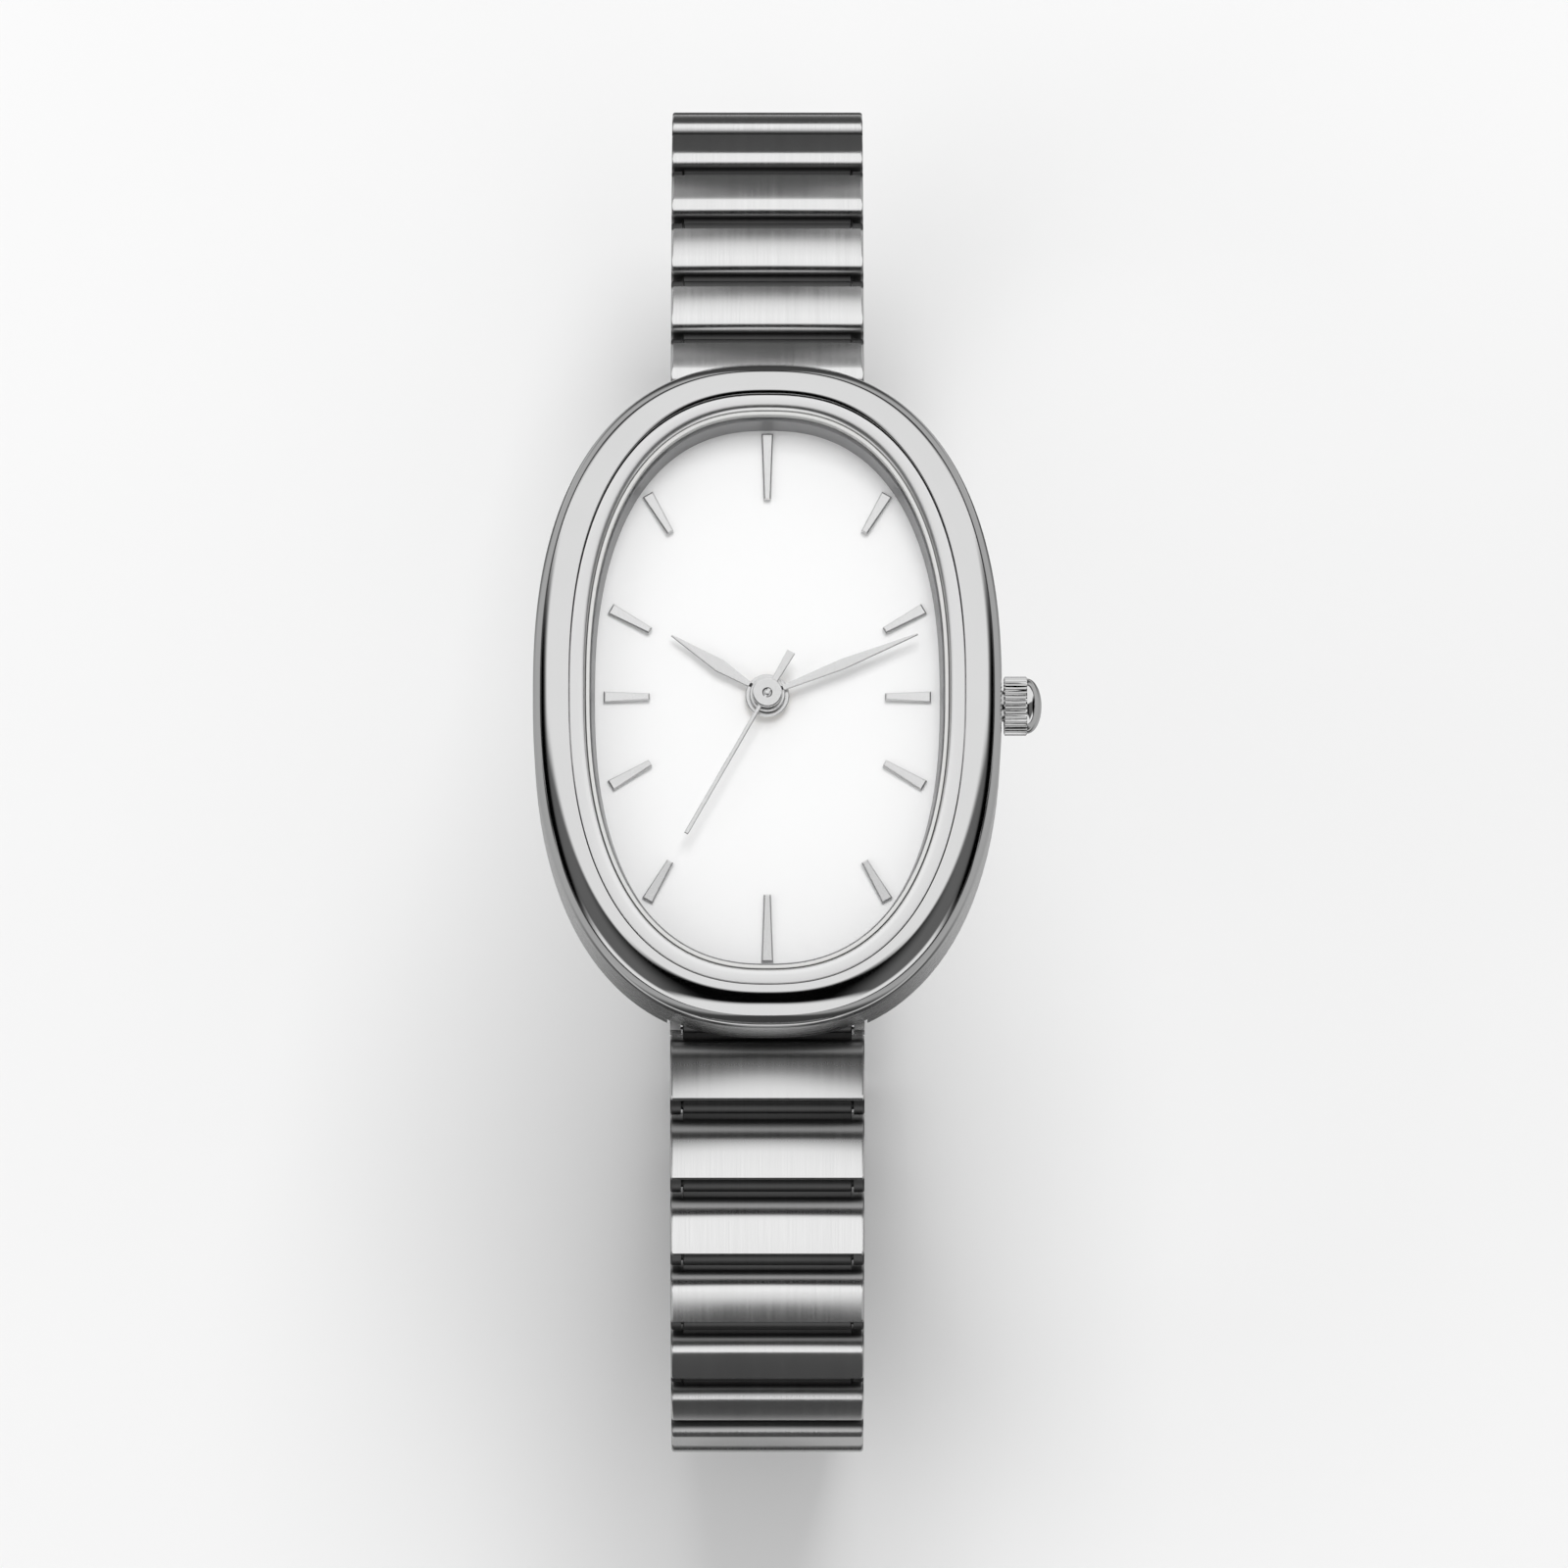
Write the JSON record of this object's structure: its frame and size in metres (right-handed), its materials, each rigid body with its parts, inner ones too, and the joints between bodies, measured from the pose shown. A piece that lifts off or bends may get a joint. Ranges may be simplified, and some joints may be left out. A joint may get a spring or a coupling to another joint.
{
  "type": "oval wristwatch",
  "caption": "Oval wristwatch with a domed bezel, baton dial, fluted crown and a closed link bracelet standing on its clasp.",
  "frame": {"origin": "on the surface under the clasp cover, below the dial's centre", "axes": "+Z is the dial's normal, away from the wrist; +Y points to 12 o'clock; +X points to 3 o'clock and the crown"},
  "size_m": [0.0261, 0.0711, 0.0447],
  "materials": {
    "polished_steel": "mirror-polished steel",
    "satin_steel": "satin steel with fine lengthwise lines",
    "pin_steel": "turned steel",
    "crystal_glass": "clear",
    "seal_plastic": "milky plastic",
    "rehaut_grey": "dark grey satin",
    "dial_white": "white lacquer",
    "dial_silver": "faceted silver",
    "holder_plastic": "moulded",
    "plate_nickel": "satin plated brass",
    "wheel_brass": "cut brass",
    "coil_wire": "enamelled wire",
    "board_green": "lacquered board",
    "battery_can": "pressed steel can",
    "seal_rubber": "black rubber"
  },
  "bodies": {
    "case": {"case_middle": "satin_steel", "spring_bars": "pin_steel", "bezel": "polished_steel", "crystal_ring": "polished_steel", "crystal_gasket": "seal_plastic", "crystal": "crystal_glass", "rehaut_ring": "rehaut_grey", "dial": "dial_white", "hour_markers": "dial_silver", "movement_holder": "holder_plastic", "main_plate": "plate_nickel", "train_bridge": "plate_nickel", "circuit_board": "board_green", "coil": "coil_wire", "battery": "battery_can", "battery_strap": "pin_steel", "crown_tube": "pin_steel", "caseback": "satin_steel", "caseback_gasket": "seal_rubber"},
    "minute": {"centre_wheel": "wheel_brass", "minute_hand": "dial_silver"},
    "hour": {"hour_wheel": "wheel_brass", "hour_hand": "dial_silver"},
    "second": {"second_wheel": "pin_steel", "second_hand": "dial_silver"},
    "minute_wheel": {"minute_wheel": "wheel_brass"},
    "third_wheel": {"third_wheel": "wheel_brass"},
    "keyless": {"setting_lever": "pin_steel"},
    "crown": {"crown": "polished_steel", "stem": "pin_steel"},
    "link_12h_01": {"link_12h_01": "satin_steel"},
    "link_12h_02": {"link_12h_02": "satin_steel"},
    "link_12h_03": {"link_12h_03": "satin_steel"},
    "link_12h_04": {"link_12h_04": "satin_steel"},
    "link_12h_05": {"link_12h_05": "satin_steel"},
    "link_12h_06": {"link_12h_06": "satin_steel"},
    "link_12h_07": {"link_12h_07": "satin_steel"},
    "link_12h_08": {"link_12h_08": "satin_steel"},
    "link_12h_09": {"link_12h_09": "satin_steel"},
    "link_12h_10": {"link_12h_10": "satin_steel"},
    "link_12h_11": {"link_12h_11": "satin_steel"},
    "link_12h_12": {"link_12h_12": "satin_steel"},
    "link_12h_13": {"link_12h_13": "satin_steel"},
    "link_12h_14": {"link_12h_14": "satin_steel"},
    "link_6h_01": {"link_6h_01": "satin_steel"},
    "link_6h_02": {"link_6h_02": "satin_steel"},
    "link_6h_03": {"link_6h_03": "satin_steel"},
    "link_6h_04": {"link_6h_04": "satin_steel"},
    "link_6h_05": {"link_6h_05": "satin_steel"},
    "link_6h_06": {"link_6h_06": "satin_steel"},
    "link_6h_07": {"link_6h_07": "satin_steel"},
    "link_6h_08": {"link_6h_08": "satin_steel"},
    "link_6h_09": {"link_6h_09": "satin_steel"},
    "link_6h_10": {"link_6h_10": "satin_steel"},
    "link_6h_11": {"link_6h_11": "satin_steel"},
    "link_6h_12": {"link_6h_12": "satin_steel"},
    "link_6h_13": {"link_6h_13": "satin_steel"},
    "link_6h_14": {"link_6h_14": "satin_steel"},
    "clasp_frame": {"clasp_frame": "satin_steel"},
    "clasp_cover": {"clasp_cover": "satin_steel"}
  },
  "joints": [
    {"name": "minute_spin", "type": "hinge", "parent": "case", "child": "minute", "pos_m": [0, 0, 0.04226], "axis": [0, 0, -1], "continuous": true},
    {"name": "hour_spin", "type": "hinge", "parent": "case", "child": "hour", "pos_m": [0, 0, 0.04226], "axis": [0, 0, -1], "continuous": true},
    {"name": "second_spin", "type": "hinge", "parent": "case", "child": "second", "pos_m": [0, 0, 0.04226], "axis": [0, 0, -1], "continuous": true},
    {"name": "minute_wheel_spin", "type": "hinge", "parent": "case", "child": "minute_wheel", "pos_m": [-0.0017, 0.0017, 0.04226], "axis": [0, 0, -1], "continuous": true},
    {"name": "third_wheel_spin", "type": "hinge", "parent": "case", "child": "third_wheel", "pos_m": [-0.00191, -0.00191, 0.04226], "axis": [0, 0, -1], "continuous": true},
    {"name": "crown_pull", "type": "slide", "parent": "case", "child": "keyless", "axis": [1, 0, 0], "range_m": [0, 0.0008]},
    {"name": "crown_spin", "type": "hinge", "parent": "keyless", "child": "crown", "pos_m": [0.01277, 0, 0.04016], "axis": [1, 0, 0], "continuous": true},
    {"name": "link_12h_01_hinge", "type": "hinge", "parent": "case", "child": "link_12h_01", "pos_m": [0, 0.0163, 0.03856], "axis": [1, 0, 0], "range_deg": [0, 36]},
    {"name": "link_12h_02_hinge", "type": "hinge", "parent": "link_12h_01", "child": "link_12h_02", "pos_m": [0, 0.0197, 0.03609], "axis": [1, 0, 0], "range_deg": [0, 7]},
    {"name": "link_12h_03_hinge", "type": "hinge", "parent": "link_12h_02", "child": "link_12h_03", "pos_m": [0, 0.0233, 0.03393], "axis": [1, 0, 0], "range_deg": [0, 12]},
    {"name": "link_12h_04_hinge", "type": "hinge", "parent": "link_12h_03", "child": "link_12h_04", "pos_m": [0, 0.0269, 0.03176], "axis": [1, 0, 0], "range_deg": [0, 18]},
    {"name": "link_12h_05_hinge", "type": "hinge", "parent": "link_12h_04", "child": "link_12h_05", "pos_m": [0, 0.03025, 0.02924], "axis": [1, 0, 0], "range_deg": [0, 24]},
    {"name": "link_12h_06_hinge", "type": "hinge", "parent": "link_12h_05", "child": "link_12h_06", "pos_m": [0, 0.03301, 0.02607], "axis": [1, 0, 0], "range_deg": [0, 28]},
    {"name": "link_12h_07_hinge", "type": "hinge", "parent": "link_12h_06", "child": "link_12h_07", "pos_m": [0, 0.03478, 0.02226], "axis": [1, 0, 0], "range_deg": [0, 29]},
    {"name": "link_12h_08_hinge", "type": "hinge", "parent": "link_12h_07", "child": "link_12h_08", "pos_m": [0, 0.03537, 0.0181], "axis": [1, 0, 0], "range_deg": [0, 29]},
    {"name": "link_12h_09_hinge", "type": "hinge", "parent": "link_12h_08", "child": "link_12h_09", "pos_m": [0, 0.03471, 0.01395], "axis": [1, 0, 0], "range_deg": [0, 29]},
    {"name": "link_12h_10_hinge", "type": "hinge", "parent": "link_12h_09", "child": "link_12h_10", "pos_m": [0, 0.03287, 0.01018], "axis": [1, 0, 0], "range_deg": [0, 27]},
    {"name": "link_12h_11_hinge", "type": "hinge", "parent": "link_12h_10", "child": "link_12h_11", "pos_m": [0, 0.03011, 0.00701], "axis": [1, 0, 0], "range_deg": [0, 25]},
    {"name": "link_12h_12_hinge", "type": "hinge", "parent": "link_12h_11", "child": "link_12h_12", "pos_m": [0, 0.02672, 0.00454], "axis": [1, 0, 0], "range_deg": [0, 24]},
    {"name": "link_12h_13_hinge", "type": "hinge", "parent": "link_12h_12", "child": "link_12h_13", "pos_m": [0, 0.02288, 0.00283], "axis": [1, 0, 0], "range_deg": [0, 23]},
    {"name": "link_12h_14_hinge", "type": "hinge", "parent": "link_12h_13", "child": "link_12h_14", "pos_m": [0, 0.01879, 0.00189], "axis": [1, 0, 0], "range_deg": [0, 20]},
    {"name": "link_6h_01_hinge", "type": "hinge", "parent": "case", "child": "link_6h_01", "pos_m": [0, -0.0163, 0.03856], "axis": [-1, 0, 0], "range_deg": [0, 23]},
    {"name": "link_6h_02_hinge", "type": "hinge", "parent": "link_6h_01", "child": "link_6h_02", "pos_m": [0, -0.02017, 0.03692], "axis": [-1, 0, 0], "range_deg": [0, 18]},
    {"name": "link_6h_03_hinge", "type": "hinge", "parent": "link_6h_02", "child": "link_6h_03", "pos_m": [0, -0.02384, 0.03488], "axis": [-1, 0, 0], "range_deg": [0, 20]},
    {"name": "link_6h_04_hinge", "type": "hinge", "parent": "link_6h_03", "child": "link_6h_04", "pos_m": [0, -0.02719, 0.03235], "axis": [-1, 0, 0], "range_deg": [0, 23]},
    {"name": "link_6h_05_hinge", "type": "hinge", "parent": "link_6h_04", "child": "link_6h_05", "pos_m": [0, -0.03, 0.02923], "axis": [-1, 0, 0], "range_deg": [0, 24]},
    {"name": "link_6h_06_hinge", "type": "hinge", "parent": "link_6h_05", "child": "link_6h_06", "pos_m": [0, -0.0321, 0.02559], "axis": [-1, 0, 0], "range_deg": [0, 24]},
    {"name": "link_6h_07_hinge", "type": "hinge", "parent": "link_6h_06", "child": "link_6h_07", "pos_m": [0, -0.0334, 0.0216], "axis": [-1, 0, 0], "range_deg": [0, 24]},
    {"name": "link_6h_08_hinge", "type": "hinge", "parent": "link_6h_07", "child": "link_6h_08", "pos_m": [0, -0.03384, 0.01742], "axis": [-1, 0, 0], "range_deg": [0, 28]},
    {"name": "link_6h_09_hinge", "type": "hinge", "parent": "link_6h_08", "child": "link_6h_09", "pos_m": [0, -0.03311, 0.01329], "axis": [-1, 0, 0], "range_deg": [0, 29]},
    {"name": "link_6h_10_hinge", "type": "hinge", "parent": "link_6h_09", "child": "link_6h_10", "pos_m": [0, -0.03121, 0.00955], "axis": [-1, 0, 0], "range_deg": [0, 28]},
    {"name": "link_6h_11_hinge", "type": "hinge", "parent": "link_6h_10", "child": "link_6h_11", "pos_m": [0, -0.02834, 0.00647], "axis": [-1, 0, 0], "range_deg": [0, 26]},
    {"name": "link_6h_12_hinge", "type": "hinge", "parent": "link_6h_11", "child": "link_6h_12", "pos_m": [0, -0.02482, 0.00419], "axis": [-1, 0, 0], "range_deg": [0, 24]},
    {"name": "link_6h_13_hinge", "type": "hinge", "parent": "link_6h_12", "child": "link_6h_13", "pos_m": [0, -0.0209, 0.00268], "axis": [-1, 0, 0], "range_deg": [0, 22]},
    {"name": "link_6h_14_hinge", "type": "hinge", "parent": "link_6h_13", "child": "link_6h_14", "pos_m": [0, -0.01677, 0.00188], "axis": [-1, 0, 0], "range_deg": [0, 18.08]},
    {"name": "clasp_hinge", "type": "hinge", "parent": "link_12h_14", "child": "clasp_frame", "pos_m": [0, 0.0146, 0.00152], "axis": [1, 0, 0], "range_deg": [0, 17]},
    {"name": "clasp_cover_hinge", "type": "hinge", "parent": "clasp_frame", "child": "clasp_cover", "pos_m": [0, 0.01265, 0.0006], "axis": [1, 0, 0], "range_deg": [0, 110]}
  ],
  "couplings": [
    {"joint": "hour_spin", "follows": "minute_spin", "ratio": 0.083333},
    {"joint": "second_spin", "follows": "minute_spin", "ratio": 60},
    {"joint": "minute_wheel_spin", "follows": "minute_spin", "ratio": -0.33333},
    {"joint": "third_wheel_spin", "follows": "minute_spin", "ratio": -8}
  ]
}
